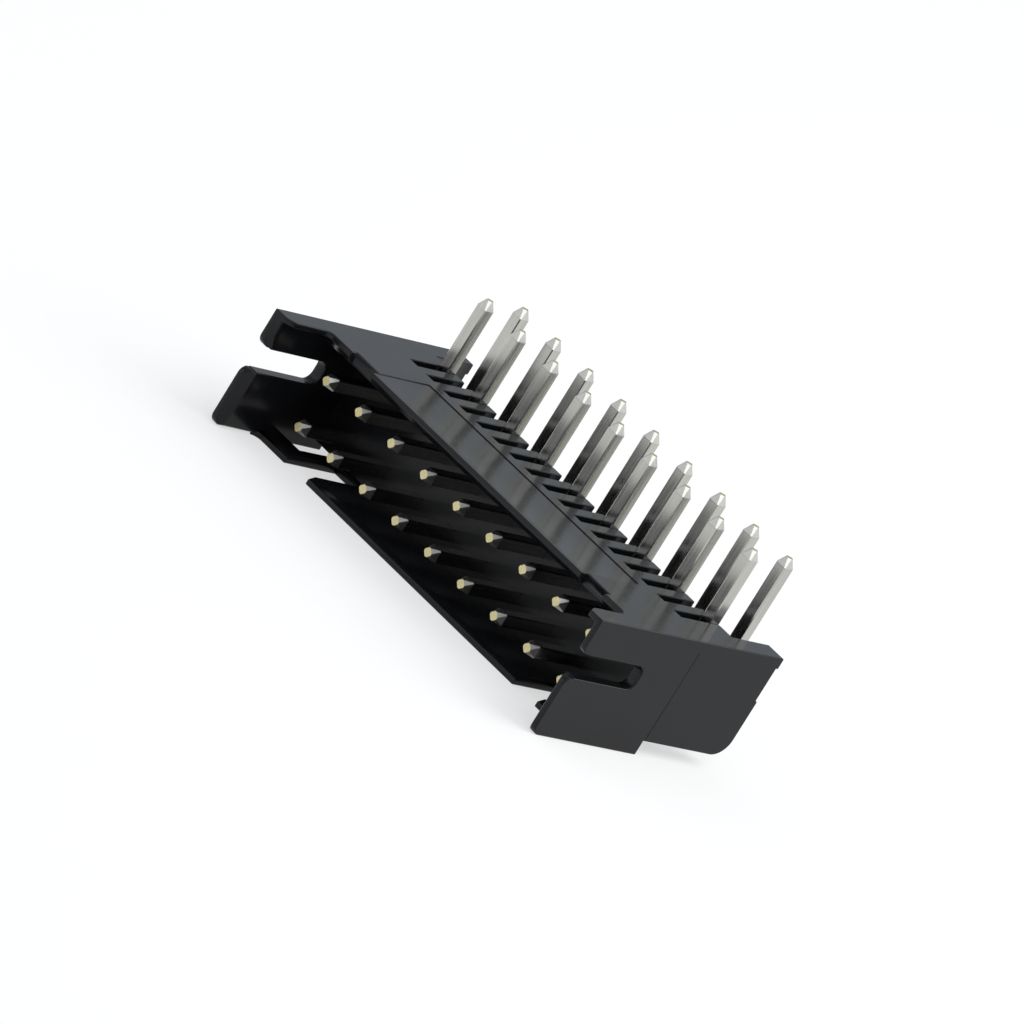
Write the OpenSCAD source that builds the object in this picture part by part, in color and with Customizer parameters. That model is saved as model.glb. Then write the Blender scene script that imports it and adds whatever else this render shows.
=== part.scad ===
// Right-angle box header: a shrouded, two-row pin header for flat cable.
// X runs along the rows, -Y is the open mating side and +Z the board side, so the
// tails point up and the housing lies on its flat top wall. The origin is the centre
// of the tail pattern, in the plane of the board. All sizes are in millimetres.

/* [Contacts] */
// Contacts in each of the two rows
contacts = 9; // [3:1:14]
// Spacing of the contacts along a row
pitch = 2; // [1.8:0.1:2.6]
// Distance between the rows, the same in the cavity and at the board
row_gap = 2; // [1.8:0.1:2.4]
// Width of the square wire
pin_w = 0.5; // [0.4:0.02:0.6]
// Inside radius of the bend
bend_r = 0.25; // [0.1:0.05:0.4]
// Length of the tails past the board face
tail_len = 3.05; // [2:0.05:4.5]
// Length of the contacts ahead of the cavity's floor
mate_len = 2.95; // [2:0.05:4]
// Length of the four-sided point at each end
tip_len = 0.34; // [0.1:0.02:0.6]
// Width of the flat that the point ends in
tip_flat = 0.26; // [0.1:0.02:0.36]
// Clearance round a contact in its hole
fit = 0.02; // [0.01:0.01:0.06]

/* [Housing] */
// Inner face of an end wall's lip, from the middle of the last contact
end_gap = 0.97; // [0.8:0.01:1.6]
// Thickness of the end walls at the board face and behind the cavity
end_wall = 0.93; // [0.7:0.01:1.2]
// Thickness of the end walls beside the cavity and in the prongs
side_wall = 0.5; // [0.4:0.01:0.6]
// Height of the cavity between the long walls
cavity_h = 4; // [3.8:0.05:4.6]
// Depth of the cavity, from the mouth to its floor
cavity_depth = 3; // [2.6:0.05:4]
// Thickness of the long wall on the board side
board_wall = 0.5; // [0.4:0.01:0.8]
// Thickness of the long wall on the top side
top_wall = 0.36; // [0.34:0.01:0.6]
// Cavity floor, from the middle of the short tails
block_front = 2.65; // [2.4:0.05:3.2]
// Plastic behind the short tails
block_back = 0.05; // [0.02:0.01:0.2]
// Start of the stepped-back rear of the top side, from the short tails
step_front = 2.08; // [1.9:0.02:2.3]
// Height of that step
step_h = 0.59; // [0.4:0.01:0.64]
// Flat lip left at the mouth of the board-side wall by its lead-in
board_lip = 0.23; // [0.15:0.01:0.35]
// Flat lip left at the mouth of the top-side wall by its lead-in
top_lip = 0.22; // [0.15:0.01:0.3]
// Depth of the lead-ins
lead_len = 0.3; // [0.1:0.02:0.6]

/* [End walls] */
// How far the end walls' prongs stand ahead of the mouth
prong_len = 2.2; // [1.8:0.05:2.6]
// Radius of the prongs' front corners next to the latch slot and at the top side
prong_r = 0.35; // [0.1:0.05:0.5]
// Width of the lead-in on the prongs' inner faces
prong_lead_w = 0.25; // [0.1:0.01:0.35]
// Length of the lead-in on the prongs' inner faces
prong_lead_len = 0.4; // [0.2:0.02:0.9]
// Width of the bevel on the lower prongs' inner foot
foot_w = 0.25; // [0.1:0.01:0.35]
// Height of the bevel on the lower prongs' inner foot
foot_h = 0.14; // [0.05:0.01:0.15]
// Radius in the corners between the prongs and the long walls
corner_r = 0.3; // [0.1:0.05:0.4]
// How far the end walls run on behind the long tails
panel_back = 0.4; // [0.3:0.05:1]
// Radius of the end walls' lower rear corner
panel_r = 0.75; // [0.3:0.05:1.2]
// Top edge of the latch slot, from the board face
latch_drop = 1.44; // [1.2:0.01:1.8]
// Height of the latch slot
latch_h = 0.98; // [0.8:0.01:1.1]
// Length of the latch slot
latch_len = 3.6; // [2.4:0.05:4]
// Radius in the latch slot's inner corners
latch_r = 0.36; // [0.05:0.01:0.38]
// Depth of the shallow relief in the rear edge
relief_depth = 0.1; // [0.04:0.01:0.2]
// Start of that relief, from the board face
relief_drop = 0.45; // [0.2:0.05:1]
// Height of that relief
relief_h = 1.4; // [0.6:0.05:2]

/* [Slots and windows] */
// Width of the key slots, midway between the last two contacts of each end
key_w = 1.32; // [0.8:0.02:1.5]
// Depth of the key slots in the top-side wall
key_depth = 2.85; // [1.5:0.05:2.95]
// Depth of the matching notches in the board-side wall
notch_depth = 0.33; // [0.1:0.01:0.8]
// Inner edge of the windows by the end walls, from the middle of the last contact
window_gap = 0.28; // [0.24:0.01:0.6]
// Plastic between the mouth and a window
window_bridge = 1.15; // [0.6:0.05:1.6]
// Width of the comb's slots on the board side
comb_w = 0.44; // [0.2:0.02:0.5]
// Depth of the comb's slots
comb_depth = 0.95; // [0.4:0.05:1.2]
// Front of the comb's slots, from the short tails
comb_front = 1.87; // [1.2:0.05:2.2]
// Width of the fine witness lines that the mould leaves
witness_w = 0.05; // [0.03:0.01:0.08]
// Depth of the witness lines
witness_depth = 0.02; // [0.01:0.01:0.04]
// Rear witness line on the board face, from the short tails
witness_front = 2.48; // [2.3:0.02:2.6]

/* [Hidden] */
$fn = 48;
over = 1;                                   // how far a cut runs past the plastic

last_x = (contacts - 1) / 2 * pitch;        // middle of the last contact
inner_x = last_x + end_gap;                 // inner face of an end wall's lip
outer_x = inner_x + end_wall;               // outer face of an end wall
side_x = outer_x - side_wall;               // inner face of an end wall and its prongs
key_x = last_x - pitch / 2;                 // middle of a key slot

height = board_wall + cavity_h + top_wall;  // from the board face to the top face
short_z = -board_wall - (cavity_h - row_gap) / 2;
long_z = short_z - row_gap;

short_y = -row_gap / 2;                     // the two rows of tails
long_y = row_gap / 2;
floor_y = short_y - block_front;            // cavity floor
mouth_y = floor_y - cavity_depth;           // front edge of the long walls
front_y = mouth_y - prong_len;              // front of the end walls
block_y = short_y + pin_w / 2 + block_back; // rear face of the contact block
panel_y = long_y + panel_back;              // rear edge of the end walls
step_y = short_y - step_front;              // step in the top side
tip_y = floor_y - mate_len;                 // mating ends of the contacts

// Middle of contact i, counted from 1
function contact_x(i) = (i - 1) * pitch - last_x;

// A side view, drawn with Y to the right and Z up, given a width along X
module along_x(width) {
    translate([-width / 2, 0, 0]) rotate([90, 0, 90]) linear_extrude(width) children();
}

// What a round corner leaves off a square one at the origin
module corner_waste(r) {
    difference() {
        translate([-over, -over]) square(r + over);
        translate([r, r]) circle(r);
        translate([r, -2 * over]) square(r + 3 * over);
        translate([-2 * over, r]) square(r + 3 * over);
    }
}

// What rounds a re-entrant corner at the origin. It reaches a little into both walls.
module corner_fill(r) {
    bond = 0.1;
    difference() {
        translate([-bond, -bond]) square(r + bond);
        translate([r, r]) circle(r);
    }
}

// The same shape at both ends of the housing
module both_ends() {
    children();
    mirror([1, 0, 0]) children();
}

// ---- Contacts -----------------------------------------------------------------

// Side view of a wire that comes in along Y and turns up to become a tail
module bent_wire(start_y, tail_y, row_z, end_z, grow = 0) {
    half = pin_w / 2 + grow;
    bend_y = tail_y - pin_w / 2 - bend_r;
    bend_z = row_z + pin_w / 2 + bend_r;
    outer_r = bend_r + pin_w + grow;
    translate([start_y, row_z - half]) square([bend_y - start_y, 2 * half]);
    translate([tail_y - half, bend_z]) square([2 * half, end_z - bend_z]);
    translate([bend_y, bend_z]) intersection() {
        difference() {
            circle(outer_r);
            circle(bend_r - grow);
        }
        translate([0, -outer_r]) square(outer_r);
    }
}

// What the press cuts off the end of a wire to leave a four-sided point.
// The end of the wire is at the origin and looks along +Z.
module point_waste() {
    side = pin_w / 2;
    for (turn = [0:3])
        rotate([90, 0, 90 * turn]) linear_extrude(2 * pin_w, center = true)
            polygon([
                [tip_flat / 2, 0], [side, -tip_len], [side + over, -tip_len],
                [side + over, over], [tip_flat / 2, over]
            ]);
}

// A square wire with one bend and a point at both ends
module contact(i, tail_y, row_z) {
    color("#c9c6bd")
    translate([contact_x(i), 0, 0])
    difference() {
        along_x(pin_w) bent_wire(tip_y, tail_y, row_z, tail_len);
        translate([0, tail_y, tail_len]) point_waste();
        translate([0, tip_y, row_z]) rotate([90, 0, 0]) point_waste();
    }
}

// Row nearer to the board: the short contacts, with the front row of tails
module short_contact(i) {
    contact(i, short_y, short_z);
}

// Row nearer to the top: the long contacts, with the rear row of tails
module long_contact(i) {
    contact(i, long_y, long_z);
}

// ---- Housing ------------------------------------------------------------------

// Side view of an end wall: two prongs with the latch slot between them, the full
// height as far as the step, and a lower panel behind it that guards the tails
module end_wall_side() {
    latch_end = front_y + latch_len;
    slot_z = -latch_drop - latch_h;
    difference() {
        translate([front_y, -height]) square([panel_y - front_y, height]);
        // stepped-back rear part with its round lower corner
        translate([step_y, -height - over]) square([panel_y - step_y + over, step_h + over]);
        translate([panel_y, -height + step_h]) mirror([1, 0, 0]) corner_waste(panel_r);
        // latch slot, round in its inner corners
        difference() {
            translate([front_y - over, slot_z]) square([latch_len + over, latch_h]);
            translate([latch_end, slot_z]) mirror([1, 0, 0]) corner_waste(latch_r);
            translate([latch_end, -latch_drop]) rotate(180) corner_waste(latch_r);
        }
        // round front corners of the prongs
        translate([front_y, -latch_drop]) corner_waste(prong_r);
        translate([front_y, slot_z]) mirror([0, 1, 0]) corner_waste(prong_r);
        translate([front_y, -height]) corner_waste(prong_r);
        // shallow relief in the rear edge
        translate([panel_y - relief_depth, -relief_drop - relief_h])
            square([relief_depth + over, relief_h]);
    }
}

// Plan view of the lead-in at the front of an inner face that stands at wall_x
module lead_in(wall_x) {
    polygon([
        [inner_x - over, front_y - over], [wall_x + prong_lead_w, front_y - over],
        [wall_x + prong_lead_w, front_y], [wall_x, front_y + prong_lead_len],
        [inner_x - over, front_y + prong_lead_len]
    ]);
}

// End wall at +X, with the lead-ins that guide the mating plug. Its prongs are thin
// apart from the lip that runs along the board face.
module end_wall() {
    difference() {
        translate([(inner_x + outer_x) / 2, 0, 0]) along_x(end_wall) end_wall_side();
        translate([0, 0, -board_lip]) linear_extrude(board_lip + over) lead_in(inner_x);
        translate([0, 0, -height - over]) linear_extrude(height + over - board_lip)
            lead_in(side_x);
        // no lip on the lower prong, only a bevel along its inner foot
        translate([0, mouth_y, 0]) rotate([90, 0, 0]) linear_extrude(prong_len + over)
            polygon([
                [inner_x - over, -height - over], [side_x + foot_w, -height - over],
                [side_x + foot_w, -height], [side_x, -height + foot_h],
                [side_x, -height + top_lip], [inner_x - over, -height + top_lip]
            ]);
    }
    // round corners where the long walls meet the lip and the lower prong
    translate([inner_x, mouth_y, -board_lip]) linear_extrude(board_lip)
        rotate(180) corner_fill(corner_r);
    translate([side_x, mouth_y, -height]) linear_extrude(top_lip)
        rotate(180) corner_fill(corner_r);
}

// Contact block and the two long walls, before anything is cut out
module body_blank() {
    difference() {
        translate([-inner_x, mouth_y, -height]) cube([2 * inner_x, block_y - mouth_y, height]);
        translate([-inner_x - over, step_y, -height - over])
            cube([2 * (inner_x + over), block_y - step_y + over, step_h + over]);
    }
}

// Open space for the mating plug, with a lead-in along both long walls
module cavity() {
    along_x(2 * side_x) polygon([
        [floor_y, -board_wall], [mouth_y + lead_len, -board_wall], [mouth_y, -board_lip],
        [front_y - over, -board_lip], [front_y - over, -height + top_lip],
        [mouth_y, -height + top_lip], [mouth_y + lead_len, -height + top_wall],
        [floor_y, -height + top_wall]
    ]);
}

// Holes and channels that the contacts sit in. A short contact's channel is open to
// the rear and to the board, so that the bent wire can drop in.
module contact_holes() {
    hole_w = pin_w + 2 * fit;
    channel_z = short_z - hole_w / 2;
    for (i = [1:contacts]) translate([contact_x(i), 0, 0]) {
        along_x(hole_w) bent_wire(floor_y - over, short_y, short_z, over, fit);
        along_x(hole_w) translate([short_y, channel_z]) square([pin_w + over, over - channel_z]);
        along_x(hole_w) translate([floor_y - over, long_z - hole_w / 2])
            square([block_y - floor_y + 2 * over, hole_w]);
    }
}

// Comb on the board side: a slot ahead of every short tail and one between each
// two, which runs out through the rear face
module comb() {
    comb_y = short_y - comb_front;
    for (i = [1:contacts])
        translate([contact_x(i) - comb_w / 2, comb_y, -comb_depth])
            cube([comb_w, comb_front, comb_depth + over]);
    for (i = [1:contacts - 1])
        translate([contact_x(i) + (pitch - comb_w) / 2, comb_y, -comb_depth])
            cube([comb_w, block_y - comb_y + over, comb_depth + over]);
}

// Cuts at +X: the key slot of the top-side wall, its window from the last contact to
// the end wall, and the shallow notch that stands opposite the key slot in the
// board-side wall
module wall_cuts() {
    translate([key_x - key_w / 2, mouth_y - over, -height - over])
        cube([key_w, key_depth + over, top_wall + 2 * over]);
    translate([key_x - key_w / 2, mouth_y - over, -board_wall - over])
        cube([key_w, notch_depth + over, board_wall + 2 * over]);
    translate([last_x + window_gap, mouth_y + window_bridge, -height - over])
        cube([side_x - last_x - window_gap, step_y - mouth_y - window_bridge + over, top_wall + over]);
}

// Fine lines where the mould's inserts meet: a frame on the board face between the
// notches, and an upright line on each end wall above the step
module witness_lines() {
    frame_x = key_x - key_w / 2;
    frame_y = short_y - witness_front;
    for (side = [-1, 1])
        translate([side * frame_x - witness_w / 2, mouth_y, -witness_depth])
            cube([witness_w, frame_y - mouth_y, witness_depth + over]);
    translate([-frame_x - witness_w / 2, frame_y - witness_w, -witness_depth])
        cube([2 * frame_x + witness_w, witness_w, witness_depth + over]);
    for (side = [-1, 1])
        translate([side * outer_x - witness_depth, step_y, -height - over])
            cube([2 * witness_depth, witness_w, height - relief_drop + over]);
}

// The one moulded piece
module housing() {
    color("#26262a")
    difference() {
        union() {
            body_blank();
            both_ends() end_wall();
        }
        cavity();
        contact_holes();
        comb();
        both_ends() wall_cuts();
        witness_lines();
    }
}

housing();
for (i = [1:contacts])
    short_contact(i);
for (i = [1:contacts])
    long_contact(i);
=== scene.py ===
import math

import bmesh
import bpy
from mathutils import Matrix, Vector


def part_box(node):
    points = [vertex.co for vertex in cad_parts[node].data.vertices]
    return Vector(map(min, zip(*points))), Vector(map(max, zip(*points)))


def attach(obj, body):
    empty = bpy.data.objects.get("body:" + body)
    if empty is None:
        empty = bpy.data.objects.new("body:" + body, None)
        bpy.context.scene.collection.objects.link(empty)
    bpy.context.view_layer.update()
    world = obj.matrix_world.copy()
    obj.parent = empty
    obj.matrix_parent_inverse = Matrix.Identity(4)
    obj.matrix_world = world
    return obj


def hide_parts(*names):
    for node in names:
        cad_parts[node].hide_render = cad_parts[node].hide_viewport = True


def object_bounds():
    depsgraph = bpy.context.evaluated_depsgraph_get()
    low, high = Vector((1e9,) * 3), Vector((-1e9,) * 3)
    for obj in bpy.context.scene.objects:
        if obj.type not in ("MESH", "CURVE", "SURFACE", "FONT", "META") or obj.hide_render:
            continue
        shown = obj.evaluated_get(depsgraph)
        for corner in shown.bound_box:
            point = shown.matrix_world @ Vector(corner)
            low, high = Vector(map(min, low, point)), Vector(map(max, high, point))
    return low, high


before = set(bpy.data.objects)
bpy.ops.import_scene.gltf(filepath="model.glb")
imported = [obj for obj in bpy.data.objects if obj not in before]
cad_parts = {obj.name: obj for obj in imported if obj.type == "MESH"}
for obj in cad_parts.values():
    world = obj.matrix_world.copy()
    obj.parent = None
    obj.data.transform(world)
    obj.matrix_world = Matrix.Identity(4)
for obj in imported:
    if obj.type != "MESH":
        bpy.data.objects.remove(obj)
cad_low, cad_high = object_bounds()


# ---- Camera ----------------------------------------------------------------
# A long lens a short way off, turned a little about its own axis. The part lies
# on its top wall with the tails up, and is seen from the mouth and the +X end.

MM = 0.001  # in Blender's metres

camera_data = bpy.data.cameras.new("camera")
camera_data.sensor_width = 36
camera_data.lens = 453.9
camera_data.clip_start = 0.01
camera_data.clip_end = 10
camera = bpy.data.objects.new("camera", camera_data)
bpy.context.scene.collection.objects.link(camera)
bpy.context.scene.camera = camera

azimuth = math.radians(-52.24)
elevation = math.radians(15.757)
roll = math.radians(31.865)
distance = 460.64 * MM
aim_offset = Vector((-1.004, 1.333, -0.815)) * MM
aim = (cad_low + cad_high) / 2 + aim_offset
toward = Vector((
    math.cos(elevation) * math.cos(azimuth),
    math.cos(elevation) * math.sin(azimuth),
    math.sin(elevation),
))
unrolled = toward.to_track_quat("Z", "Y").to_matrix().to_4x4()
camera.matrix_world = (
    Matrix.Translation(aim + toward * distance) @ unrolled @ Matrix.Rotation(roll, 4, "Z")
)


# ---- Housing ---------------------------------------------------------------
# One injection moulding of glass-filled black PBT: contact block, two long walls
# and two end walls. Its mould is polished, so the outside is smooth and glossy.

def linear(hex_colour):
    """The linear colour of an sRGB hex value."""
    colour = []
    for start in (1, 3, 5):
        value = int(hex_colour[start:start + 2], 16) / 255
        colour.append(value / 12.92 if value <= 0.04045 else ((value + 0.055) / 1.055) ** 2.4)
    return (*colour, 1.0)


def add_node(tree, kind, settings=None, inputs=None):
    """Adds a node. An input takes a plain value, or another node's output socket."""
    new = tree.nodes.new(kind)
    for name, value in (settings or {}).items():
        setattr(new, name, value)
    for name, value in (inputs or {}).items():
        if isinstance(value, bpy.types.NodeSocket):
            tree.links.new(value, new.inputs[name])
        else:
            new.inputs[name].default_value = value
    return new


def new_material(name):
    """An empty node material, and its tree."""
    material = bpy.data.materials.new(name)
    material.use_nodes = True
    material.node_tree.nodes.clear()
    return material, material.node_tree


# Glass-filled PBT from a polished mould: near black with a cold cast, a clean but
# weak reflection, and a faint unevenness where the fibres lie just under the skin.
# The resin's own index, near 1.6, would reflect too much. The fibres, some 0.01 mm
# thick, are drawn coarser, so that they show.
FLOW_SIZE = 1.6 * MM
FIBRE_SIZE = 0.06 * MM
black_pbt, tree = new_material("moulded_black_pbt")
place = add_node(tree, "ShaderNodeTexCoord").outputs["Object"]
flow = add_node(tree, "ShaderNodeTexNoise", inputs={
    "Vector": place, "Scale": 1 / FLOW_SIZE, "Detail": 3.0, "Roughness": 0.55,
})
fibre = add_node(tree, "ShaderNodeTexNoise", inputs={
    "Vector": place, "Scale": 1 / FIBRE_SIZE, "Detail": 2.0, "Roughness": 0.6,
})
skin_colour = add_node(tree, "ShaderNodeMix", {"data_type": "RGBA"}, {
    "Factor": flow.outputs["Fac"],
})
skin_colour.inputs[6].default_value = linear("#101012")
skin_colour.inputs[7].default_value = linear("#17181b")
skin_roughness = add_node(tree, "ShaderNodeMapRange", inputs={
    "Value": flow.outputs["Fac"], "From Min": 0.3, "From Max": 0.7, "To Min": 0.14, "To Max": 0.22,
})
skin_bump = add_node(tree, "ShaderNodeBump", inputs={
    "Strength": 0.1, "Distance": 0.004 * MM, "Height": fibre.outputs["Fac"],
})
plastic = add_node(tree, "ShaderNodeBsdfPrincipled", inputs={
    "Base Color": skin_colour.outputs[2], "Roughness": skin_roughness.outputs["Result"],
    "IOR": 1.3, "Normal": skin_bump.outputs["Normal"],
})
add_node(tree, "ShaderNodeOutputMaterial", inputs={"Surface": plastic.outputs["BSDF"]})

# The moulding is a copy of the solid with its loose triangles joined into whole
# faces, so that its edges can be given the small radius a real mould leaves. The
# marks of the mould's inserts are filled first and cut again at the end.
CONTACTS = 9
WIRE = 0.5 * MM
EDGE_RADIUS = 0.05 * MM     # of a moulded outer edge
LINE_DEPTH = 0.02 * MM      # of the marks in the solid
HOLE_HALF = 0.27 * MM       # half the width of a contact's hole in the solid
SNUG_HALF = 0.253 * MM      # the same where the hole grips its contact
COMB_HALF = 0.22 * MM       # half the width of a comb slot
SAME = 0.002 * MM           # lengths closer than this are taken as equal
WELD = 0.001 * MM           # corners closer than this become one
FLAT_BELOW = math.radians(1)
ROUNDED_ABOVE = math.radians(35)
CREASED_ABOVE = math.radians(50)
contact_xs = [
    sum(corner.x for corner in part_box(f"short_contact_{i + 1}")) / 2 for i in range(CONTACTS)
]
outer_x = cad_high.x


def near(length, other):
    """Whether two lengths are the same but for rounding."""
    return abs(length - other) < SAME


def beside_hole(corner, half):
    """Whether a corner lies this far to the side of the middle of a contact."""
    return any(near(abs(corner.co.x - x), half) for x in contact_xs)


shape = bmesh.new()
shape.from_mesh(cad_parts["housing"].data)
board_line = [corner for corner in shape.verts if near(corner.co.z, -LINE_DEPTH)]
left, right = (pick(corner.co.x for corner in board_line) for pick in (min, max))
front, rear = (pick(corner.co.y for corner in board_line) for pick in (min, max))
end_line = [corner for corner in shape.verts if near(abs(corner.co.x), outer_x - LINE_DEPTH)]
end_front, end_rear = (pick(corner.co.y for corner in end_line) for pick in (min, max))
end_foot, end_head = (pick(corner.co.z for corner in end_line) for pick in (min, max))
for corner in board_line:
    corner.co.z = 0
for corner in end_line:
    corner.co.x = math.copysign(outer_x, corner.co.x)

# The contacts are a press fit, so each square hole closes on its wire.
for kind in ("short", "long"):
    row_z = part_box(f"{kind}_contact_1")[0].z + WIRE / 2
    for corner in shape.verts:
        if beside_hole(corner, HOLE_HALF) and near(abs(corner.co.z - row_z), HOLE_HALF):
            middle_x = min(contact_xs, key=lambda x: abs(corner.co.x - x))
            corner.co.x = middle_x + math.copysign(SNUG_HALF, corner.co.x - middle_x)
            corner.co.z = row_z + math.copysign(SNUG_HALF, corner.co.z - row_z)
bmesh.ops.remove_doubles(shape, verts=shape.verts, dist=WELD)
bmesh.ops.dissolve_degenerate(shape, edges=shape.edges, dist=WELD)
bmesh.ops.dissolve_limit(
    shape, angle_limit=FLAT_BELOW, verts=shape.verts, edges=shape.edges, delimit={"NORMAL"}
)

# Every sharp outer edge is rounded, apart from the rims of the holes that the
# contacts fill, which stay as crisp as the steel pins that form them.
weight = shape.edges.layers.float.new("bevel_weight_edge")
for edge in shape.edges:
    sharp = len(edge.link_faces) == 2 and edge.calc_face_angle_signed() > ROUNDED_ABOVE
    at_hole = [
        beside_hole(corner, HOLE_HALF) or beside_hole(corner, SNUG_HALF) for corner in edge.verts
    ]
    at_comb = [beside_hole(corner, COMB_HALF) for corner in edge.verts]
    hole_rim = all(at_hole) or (any(at_hole) and any(at_comb))
    edge[weight] = 1.0 if sharp and not hole_rim else 0.0
for face in shape.faces:
    face.smooth = True
housing_mesh = bpy.data.meshes.new("housing_moulding")
shape.to_mesh(housing_mesh)
shape.free()
housing_mesh.materials.clear()
housing_mesh.materials.append(black_pbt)
housing = bpy.data.objects.new("housing_moulding", housing_mesh)
bpy.context.scene.collection.objects.link(housing)
rounding = housing.modifiers.new("edge radius", "BEVEL")
rounding.width = EDGE_RADIUS
rounding.segments = 3
rounding.limit_method = "WEIGHT"
# Without this, one short edge would thin the radius of the whole moulding.
rounding.use_clamp_overlap = False

# Cutter for the marks of the inserts: a shallow step down on the board face, open to
# the mouth, and one upright line on each end face.
INSERT_DEPTH = 0.03 * MM
END_LINE_WIDTH = 0.035 * MM
OVERRUN = 0.1 * MM  # how far the cutter runs out past the mouth
cutter = bmesh.new()
marks = [(
    Vector(((left + right) / 2, (front - OVERRUN + rear) / 2, 0)),
    Vector((right - left, rear - front + OVERRUN, 2 * INSERT_DEPTH)),
)]
for side_x in (-outer_x, outer_x):
    marks.append((
        Vector((side_x, (end_front + end_rear) / 2, (end_foot + end_head) / 2)),
        Vector((2 * LINE_DEPTH, END_LINE_WIDTH, end_head - end_foot)),
    ))
for middle, extent in marks:
    bmesh.ops.create_cube(
        cutter, size=1, matrix=Matrix.Translation(middle) @ Matrix.Diagonal((*extent, 1))
    )
bmesh.ops.recalc_face_normals(cutter, faces=cutter.faces)
cutter_mesh = bpy.data.meshes.new("insert_mark_cutter")
cutter.to_mesh(cutter_mesh)
cutter.free()
cutter_object = bpy.data.objects.new("insert_mark_cutter", cutter_mesh)
bpy.context.scene.collection.objects.link(cutter_object)
cutting = housing.modifiers.new("insert marks", "BOOLEAN")
cutting.operation = "DIFFERENCE"
cutting.solver = "EXACT"
cutting.object = cutter_object
finished_mesh = bpy.data.meshes.new_from_object(
    housing.evaluated_get(bpy.context.evaluated_depsgraph_get())
)
housing.modifiers.clear()
housing.data = finished_mesh
bpy.data.objects.remove(cutter_object)

# The cut leaves corners split along its seams, so they are welded.
seams = bmesh.new()
seams.from_mesh(finished_mesh)
bmesh.ops.remove_doubles(seams, verts=seams.verts, dist=WELD)
seams.to_mesh(finished_mesh)
seams.free()
finished_mesh.set_sharp_from_angle(angle=CREASED_ABOVE)
shading = housing.modifiers.new("flat faces stay flat", "WEIGHTED_NORMAL")
shading.weight = 100
shading.keep_sharp = True

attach(housing, "root")
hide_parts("housing")


# ---- Contacts --------------------------------------------------------------
# Two rows of nine, pressed into the housing from the rear: square brass wire,
# drawn, tin plated, bent once, and pressed to a blunt point at both ends.

# Bright tin over drawn brass: a clear grey mirror with fine lines along the wire,
# duller on the points, where the press has rubbed it. The lines are far finer on
# real wire, and are drawn coarser, so that they show.
LINE_WIDTH = 0.12 * MM
LINE_LENGTH = 3 * MM
LINE_SHIFT = 7.3            # moves the lines on, so that no two contacts of a row are alike
PRESSED_ROUGHNESS = 0.16    # added on the points
tin, tree = new_material("bright_tin_plate")
section = add_node(tree, "ShaderNodeAttribute", {"attribute_name": "section"}).outputs["Vector"]
along = add_node(tree, "ShaderNodeAttribute", {"attribute_name": "along"}).outputs["Fac"]
number = add_node(tree, "ShaderNodeAttribute", {"attribute_name": "contact"}).outputs["Fac"]
across = add_node(tree, "ShaderNodeVectorMath", {"operation": "SCALE"}, {
    "Vector": section, "Scale": 1 / LINE_WIDTH,
})
run = add_node(tree, "ShaderNodeMath", {"operation": "MULTIPLY"}, {0: along, 1: 1 / LINE_LENGTH})
lot = add_node(tree, "ShaderNodeMath", {"operation": "MULTIPLY_ADD"}, {
    0: number, 1: LINE_SHIFT, 2: run.outputs[0],
})
lengthwise = add_node(tree, "ShaderNodeCombineXYZ", inputs={"Z": lot.outputs[0]})
grain_place = add_node(tree, "ShaderNodeVectorMath", {"operation": "ADD"}, {
    0: across.outputs[0], 1: lengthwise.outputs[0],
})
drawing = add_node(tree, "ShaderNodeTexNoise", inputs={
    "Vector": grain_place.outputs[0], "Scale": 1.0, "Detail": 3.0, "Roughness": 0.6,
})
tin_colour = add_node(tree, "ShaderNodeValToRGB", inputs={"Fac": drawing.outputs["Fac"]})
tin_colour.color_ramp.elements[0].position = 0.35
tin_colour.color_ramp.elements[0].color = linear("#b0afaa")
tin_colour.color_ramp.elements[1].position = 0.65
tin_colour.color_ramp.elements[1].color = linear("#bfbeb8")
tin_bump = add_node(tree, "ShaderNodeBump", inputs={
    "Strength": 0.2, "Distance": 0.005 * MM, "Height": drawing.outputs["Fac"],
})
pressed = add_node(tree, "ShaderNodeAttribute", {"attribute_name": "pressed"}).outputs["Fac"]
streaks = add_node(tree, "ShaderNodeMapRange", inputs={
    "Value": drawing.outputs["Fac"], "From Min": 0.3, "From Max": 0.7, "To Min": 0.15, "To Max": 0.23,
})
tin_roughness = add_node(tree, "ShaderNodeMath", {"operation": "MULTIPLY_ADD"}, {
    0: pressed, 1: PRESSED_ROUGHNESS, 2: streaks.outputs["Result"],
})
metal = add_node(tree, "ShaderNodeBsdfPrincipled", inputs={
    "Base Color": tin_colour.outputs["Color"], "Metallic": 1.0,
    "Roughness": tin_roughness.outputs[0], "Normal": tin_bump.outputs["Normal"],
})
add_node(tree, "ShaderNodeOutputMaterial", inputs={"Surface": metal.outputs["BSDF"]})

# The cut end of the wire: bare brass, torn a little rough by the shear.
TEAR_SIZE = 0.08 * MM
cut_brass, tree = new_material("sheared_brass")
place = add_node(tree, "ShaderNodeTexCoord").outputs["Object"]
tear = add_node(tree, "ShaderNodeTexNoise", inputs={
    "Vector": place, "Scale": 1 / TEAR_SIZE, "Detail": 2.0,
})
cut_colour = add_node(tree, "ShaderNodeValToRGB", inputs={"Fac": tear.outputs["Fac"]})
cut_colour.color_ramp.elements[0].color = linear("#bdb284")
cut_colour.color_ramp.elements[1].color = linear("#d9d0a6")
cut_bump = add_node(tree, "ShaderNodeBump", inputs={
    "Strength": 0.4, "Distance": 0.02 * MM, "Height": tear.outputs["Fac"],
})
metal = add_node(tree, "ShaderNodeBsdfPrincipled", inputs={
    "Base Color": cut_colour.outputs["Color"], "Metallic": 1.0, "Roughness": 0.45,
    "Normal": cut_bump.outputs["Normal"],
})
add_node(tree, "ShaderNodeOutputMaterial", inputs={"Surface": metal.outputs["BSDF"]})

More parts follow.
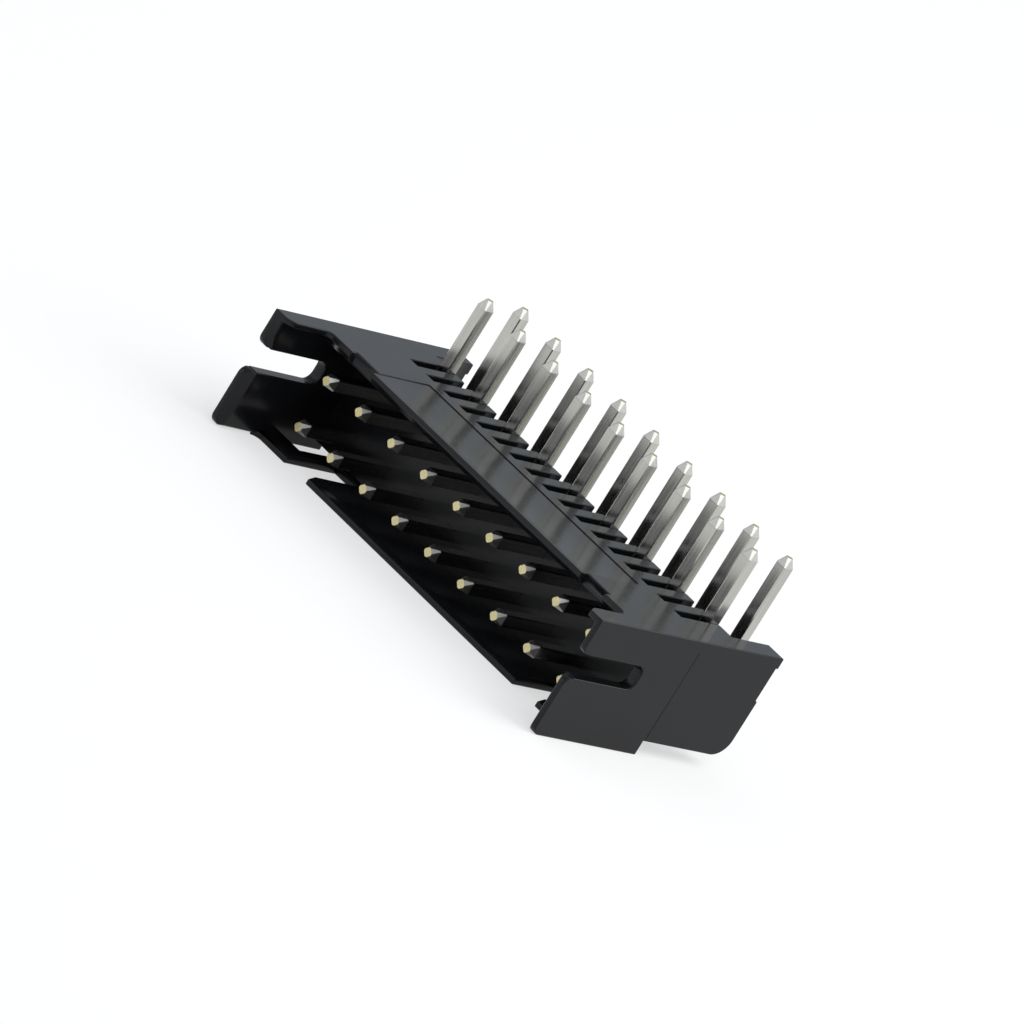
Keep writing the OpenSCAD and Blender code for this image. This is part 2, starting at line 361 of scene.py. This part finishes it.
# A row of contacts follows one path. The path is the object's own edge line, and
# the tree rounds its bend, sweeps the wire along it and repeats it down the row.
BEND_POINT = 3          # the number of the bend's corner, counted from the mating end
BEND_STEPS = 24
CORNER_STEPS = 1        # each corner of the wire is one narrow flat
SIDES_OF_A_QUAD = 4     # only a cut end has more
row_tree = bpy.data.node_groups.new("contact_row", "GeometryNodeTree")
for name, kind in (
    ("Path", "NodeSocketGeometry"),
    ("Wire width", "NodeSocketFloat"),
    ("Wire corner radius", "NodeSocketFloat"),
    ("Bend radius", "NodeSocketFloat"),
    ("Contacts", "NodeSocketInt"),
    ("Pitch", "NodeSocketFloat"),
    ("Plating", "NodeSocketMaterial"),
    ("Cut end", "NodeSocketMaterial"),
):
    row_tree.interface.new_socket(name, in_out="INPUT", socket_type=kind)
row_tree.interface.new_socket("Contacts made", in_out="OUTPUT", socket_type="NodeSocketGeometry")

size = add_node(row_tree, "NodeGroupInput").outputs
path = add_node(row_tree, "GeometryNodeMeshToCurve", inputs={"Mesh": size["Path"]})
is_bend = add_node(row_tree, "FunctionNodeCompare", {"data_type": "INT", "operation": "EQUAL"}, {
    2: add_node(row_tree, "GeometryNodeInputIndex").outputs["Index"], 3: BEND_POINT,
})
bend_radius = add_node(row_tree, "GeometryNodeSwitch", {"input_type": "FLOAT"}, {
    "Switch": is_bend.outputs["Result"], "False": 0.0, "True": size["Bend radius"],
})
bent = add_node(row_tree, "GeometryNodeFilletCurve", {"mode": "POLY"}, {
    "Curve": path.outputs["Curve"], "Count": BEND_STEPS, "Radius": bend_radius.outputs["Output"],
    "Limit Radius": True,
})
measured = add_node(row_tree, "GeometryNodeStoreNamedAttribute", {"domain": "POINT"}, {
    "Geometry": bent.outputs["Curve"], "Name": "along",
    "Value": add_node(row_tree, "GeometryNodeSplineParameter").outputs["Length"],
})
square = add_node(row_tree, "GeometryNodeCurvePrimitiveQuadrilateral", {"mode": "RECTANGLE"}, {
    "Width": size["Wire width"], "Height": size["Wire width"],
})
rounded = add_node(row_tree, "GeometryNodeFilletCurve", {"mode": "POLY"}, {
    "Curve": square.outputs["Curve"], "Count": CORNER_STEPS, "Radius": size["Wire corner radius"],
})
on_each_corner = {"domain": "POINT", "data_type": "FLOAT_VECTOR"}
located = add_node(row_tree, "GeometryNodeStoreNamedAttribute", on_each_corner, {
    "Geometry": rounded.outputs["Curve"], "Name": "section",
    "Value": add_node(row_tree, "GeometryNodeInputPosition").outputs["Position"],
})
swept = add_node(row_tree, "GeometryNodeCurveToMesh", inputs={
    "Curve": measured.outputs["Geometry"], "Profile Curve": located.outputs["Geometry"],
    "Fill Caps": True,
})
# Drawn wire has flat sides, which a smooth normal would turn into a round rod.
flat_sided = add_node(row_tree, "GeometryNodeSetShadeSmooth", inputs={
    "Geometry": swept.outputs["Mesh"], "Shade Smooth": False,
})
step = add_node(row_tree, "ShaderNodeCombineXYZ", inputs={"X": size["Pitch"]})
row = add_node(row_tree, "GeometryNodeMeshLine", {"mode": "OFFSET"}, {
    "Count": size["Contacts"], "Offset": step.outputs["Vector"],
})
repeated = add_node(row_tree, "GeometryNodeInstanceOnPoints", inputs={
    "Points": row.outputs["Mesh"], "Instance": flat_sided.outputs["Geometry"],
})
on_each_contact = {"domain": "INSTANCE", "data_type": "INT"}
counted = add_node(row_tree, "GeometryNodeStoreNamedAttribute", on_each_contact, {
    "Geometry": repeated.outputs["Instances"], "Name": "contact",
    "Value": add_node(row_tree, "GeometryNodeInputIndex").outputs["Index"],
})
realized = add_node(row_tree, "GeometryNodeRealizeInstances", inputs={
    "Geometry": counted.outputs["Geometry"],
})
plated = add_node(row_tree, "GeometryNodeSetMaterial", inputs={
    "Geometry": realized.outputs["Geometry"], "Material": size["Plating"],
})
has_more = {"data_type": "INT", "operation": "GREATER_THAN"}
is_end = add_node(row_tree, "FunctionNodeCompare", has_more, {
    2: add_node(row_tree, "GeometryNodeInputMeshFaceNeighbors").outputs["Vertex Count"],
    3: SIDES_OF_A_QUAD,
})
finished = add_node(row_tree, "GeometryNodeSetMaterial", inputs={
    "Geometry": plated.outputs["Geometry"], "Selection": is_end.outputs["Result"],
    "Material": size["Cut end"],
})
add_node(row_tree, "NodeGroupOutput", inputs={"Contacts made": finished.outputs["Geometry"]})

# The press squeezes the last of the wire to an eight-sided point with a flat end.
WIRE_CORNER = 0.04 * MM
BEND_RADIUS = 0.5 * MM          # along the middle of the wire
POINT_LENGTH = 0.34 * MM
POINT_BLEND = 0.05 * MM         # in which the duller finish of the point fades out
TAIL_FLAT_RADIUS = 0.14 * MM    # from the middle of the flat end to its corners
PIN_FLAT_RADIUS = 0.19 * MM     # the same at the mating end, which is blunter
FACET_SPREAD = 6.5              # widens the wire's narrow corner flats into facets


def round_off(corner, centre, plane, radius):
    """Moves a corner of a flat end onto a circle, away from the diagonal it lies beside."""
    offset = corner.co - centre
    angle = math.atan2(getattr(offset, plane[1]), getattr(offset, plane[0]))
    diagonal = (math.floor(angle / (math.pi / 2)) + 0.5) * math.pi / 2
    angle = diagonal + (angle - diagonal) * FACET_SPREAD
    setattr(corner.co, plane[0], getattr(centre, plane[0]) + radius * math.cos(angle))
    setattr(corner.co, plane[1], getattr(centre, plane[1]) + radius * math.sin(angle))


for kind in ("short", "long"):
    low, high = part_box(f"{kind}_contact_1")
    first_x = (low.x + high.x) / 2
    row_z = low.z + WIRE / 2
    tail_y = high.y - WIRE / 2
    last_x = sum(corner.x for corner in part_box(f"{kind}_contact_{CONTACTS}")) / 2
    pitch = (last_x - first_x) / (CONTACTS - 1)
    corners = [
        (first_x, low.y, row_z), (first_x, low.y + POINT_LENGTH, row_z),
        (first_x, low.y + POINT_LENGTH + POINT_BLEND, row_z), (first_x, tail_y, row_z),
        (first_x, tail_y, high.z - POINT_LENGTH - POINT_BLEND),
        (first_x, tail_y, high.z - POINT_LENGTH), (first_x, tail_y, high.z),
    ]
    line = bpy.data.meshes.new(f"{kind}_path")
    line.from_pydata(corners, [(i, i + 1) for i in range(len(corners) - 1)], [])
    holder = bpy.data.objects.new(f"{kind}_row", line)
    bpy.context.scene.collection.objects.link(holder)
    sweep = holder.modifiers.new("row", "NODES")
    sweep.node_group = row_tree
    values = {
        "Wire width": WIRE, "Wire corner radius": WIRE_CORNER, "Bend radius": BEND_RADIUS,
        "Contacts": CONTACTS, "Pitch": pitch, "Plating": tin, "Cut end": cut_brass,
    }
    for item in row_tree.interface.items_tree:
        if item.in_out == "INPUT" and item.name in values:
            sweep[item.identifier] = values[item.name]
    made = bpy.data.meshes.new_from_object(
        holder.evaluated_get(bpy.context.evaluated_depsgraph_get())
    )
    bpy.data.objects.remove(holder)
    for i in range(CONTACTS):
        wire = bmesh.new()
        wire.from_mesh(made)
        tag = wire.verts.layers.int["contact"]
        bmesh.ops.delete(wire, geom=[v for v in wire.verts if v[tag] != i], context="VERTS")
        on_point = wire.verts.layers.float.new("pressed")
        axis = first_x + i * pitch
        for corner in wire.verts:
            from_end = min(corner.co.y - low.y, high.z - corner.co.z)
            if from_end < POINT_LENGTH + POINT_BLEND / 2:
                corner[on_point] = 1
            if near(corner.co.y, low.y):
                round_off(corner, Vector((axis, low.y, row_z)), "xz", PIN_FLAT_RADIUS)
            elif near(corner.co.z, high.z):
                round_off(corner, Vector((axis, tail_y, high.z)), "xy", TAIL_FLAT_RADIUS)
        mesh = bpy.data.meshes.new(f"{kind}_wire_{i + 1}")
        wire.to_mesh(mesh)
        wire.free()
        for material in made.materials:
            mesh.materials.append(material)
        contact = bpy.data.objects.new(mesh.name, mesh)
        bpy.context.scene.collection.objects.link(contact)
        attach(contact, "root")
        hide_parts(f"{kind}_contact_{i + 1}")
    bpy.data.meshes.remove(made)


# ---- Floor, light and background ---------------------------------------------
# A plain white table under soft light: a large warm panel above and behind, a low
# one at the rear, a low one opposite it at the front, and a small one high on the
# right, over the mouth. The shadow falls forward.

# Matt white paint. To the eye and in reflections it glows a little, which lifts the
# shadow to a light grey, while the light that it throws up stays that of plain paint.
# From below it is clear, so that the part can be seen from there.
SHADOW_LIFT = 0.6
floor_paint, tree = new_material("white_table")
rays = add_node(tree, "ShaderNodeLightPath")
mirrored = add_node(tree, "ShaderNodeMath", {"operation": "MAXIMUM"}, {
    0: rays.outputs["Is Glossy Ray"], 1: rays.outputs["Is Transmission Ray"],
})
seen = add_node(tree, "ShaderNodeMath", {"operation": "MAXIMUM"}, {
    0: rays.outputs["Is Camera Ray"], 1: mirrored.outputs[0],
})
lifted = add_node(tree, "ShaderNodeMath", {"operation": "MULTIPLY"}, {
    0: seen.outputs[0], 1: SHADOW_LIFT,
})
paint = add_node(tree, "ShaderNodeBsdfDiffuse", inputs={"Color": linear("#f9f9f9")})
white = add_node(tree, "ShaderNodeEmission", inputs={"Color": linear("#ffffff"), "Strength": 1.0})
top_side = add_node(tree, "ShaderNodeMixShader", inputs={
    0: lifted.outputs[0], 1: paint.outputs["BSDF"], 2: white.outputs["Emission"],
})
clear = add_node(tree, "ShaderNodeBsdfTransparent")
side = add_node(tree, "ShaderNodeNewGeometry")
from_above = add_node(tree, "ShaderNodeMixShader", inputs={
    0: side.outputs["Backfacing"], 1: top_side.outputs["Shader"], 2: clear.outputs["BSDF"],
})
add_node(tree, "ShaderNodeOutputMaterial", inputs={"Surface": from_above.outputs["Shader"]})

FLOOR_HALF = 600 * MM
FLOOR_GAP = 0.002 * MM  # keeps the table from touching the faces that lie on it
floor_z = cad_low.z - FLOOR_GAP
floor_mesh = bpy.data.meshes.new("table")
floor_mesh.from_pydata(
    [(x, y, floor_z) for x, y in (
        (-FLOOR_HALF, -FLOOR_HALF), (FLOOR_HALF, -FLOOR_HALF),
        (FLOOR_HALF, FLOOR_HALF), (-FLOOR_HALF, FLOOR_HALF),
    )],
    [], [(0, 1, 2, 3)],
)
floor_mesh.materials.append(floor_paint)
table = bpy.data.objects.new("table", floor_mesh)
bpy.context.scene.collection.objects.link(table)


def soft_panel(name, place, width, power, colour=(1, 1, 1)):
    """A square lamp that looks at the part. Place and width are in metres."""
    data = bpy.data.lights.new(name, "AREA")
    data.shape = "SQUARE"
    data.size = width
    data.energy = power
    data.color = colour
    lamp = bpy.data.objects.new(name, data)
    bpy.context.scene.collection.objects.link(lamp)
    lamp.location = place
    lamp.rotation_mode = "QUATERNION"
    lamp.rotation_quaternion = Vector(place).to_track_quat("Z", "Y")
    lamp.visible_camera = False


soft_panel("key_panel", (0.12, 0.17, 0.26), 0.30, 0.80, (1.0, 0.97, 0.93))
soft_panel("low_rear_panel", (0.194, 0.251, 0.09), 0.16, 0.08)
soft_panel("low_front_panel", (-0.194, -0.251, 0.09), 0.20, 0.09)
soft_panel("right_panel", (0.184, -0.127, 0.242), 0.10, 0.14)

world = bpy.data.worlds.new("studio")
bpy.context.scene.world = world
world.use_nodes = True
world.node_tree.nodes.clear()
room = add_node(world.node_tree, "ShaderNodeBackground", inputs={
    "Color": (0.86, 0.93, 1.0, 1), "Strength": 0.58,
})
add_node(world.node_tree, "ShaderNodeOutputWorld", inputs={"Surface": room.outputs["Background"]})
bpy.context.scene.view_settings.view_transform = "Standard"
